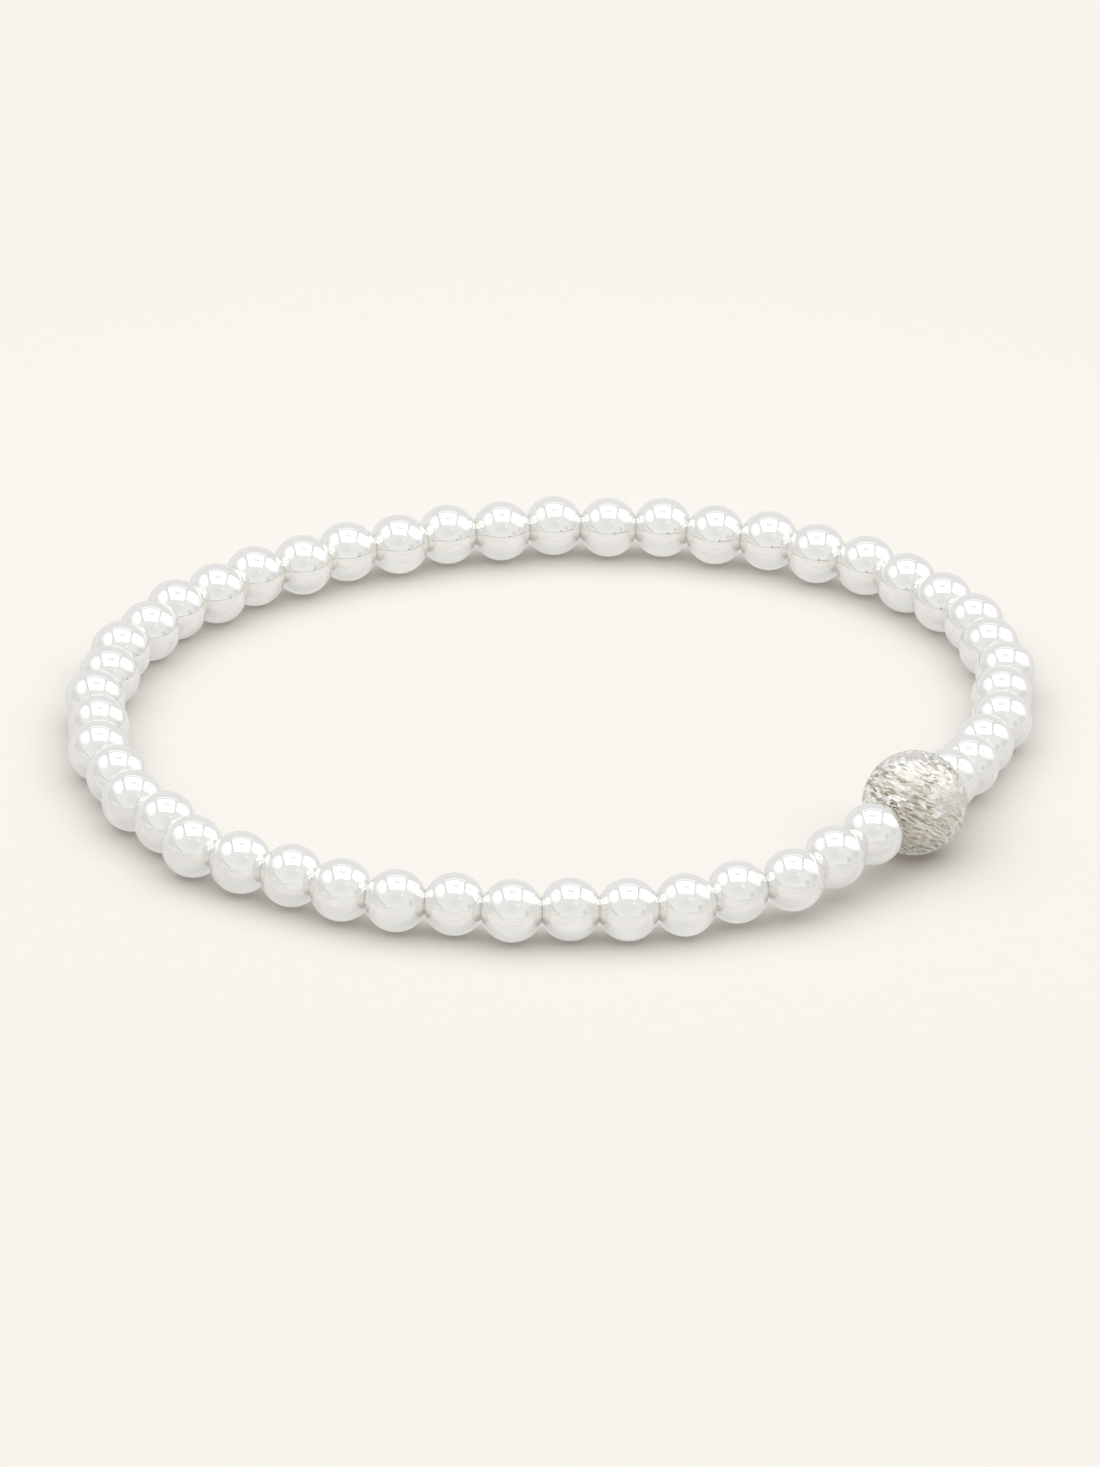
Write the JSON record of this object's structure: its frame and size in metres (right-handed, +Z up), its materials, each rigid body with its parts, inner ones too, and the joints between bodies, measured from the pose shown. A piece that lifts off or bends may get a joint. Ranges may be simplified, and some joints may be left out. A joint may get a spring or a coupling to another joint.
{
  "type": "beaded stretch bracelet",
  "caption": "Stretch bracelet of small polished round metal beads with a larger cut, sparkling bead, threaded close together on an elastic loop.",
  "frame": {"origin": "on the surface that the bracelet lies on, under the middle of the loop's box", "axes": "+Z up from the surface, +X along the loop's longer side, +Y across it; the larger bead lies towards +X -Y"},
  "size_m": [0.0652, 0.062, 0.0069],
  "materials": {
    "polished_silver": "mirror-polished silver with fine handling scratches",
    "cut_silver": "silver covered in short fine cuts that sparkle",
    "clear_elastic": "smooth clear elastic"
  },
  "bodies": {
    "root": {"bead_strand_1": "polished_silver", "bead_strand_2": "polished_silver", "bead_strand_3": "polished_silver", "bead_strand_4": "polished_silver", "bead_strand_5": "polished_silver", "bead_strand_6": "polished_silver", "bead_strand_7": "polished_silver", "bead_strand_8": "polished_silver", "focal_bead": "cut_silver", "elastic_cord": "clear_elastic"}
  },
  "joints": []
}
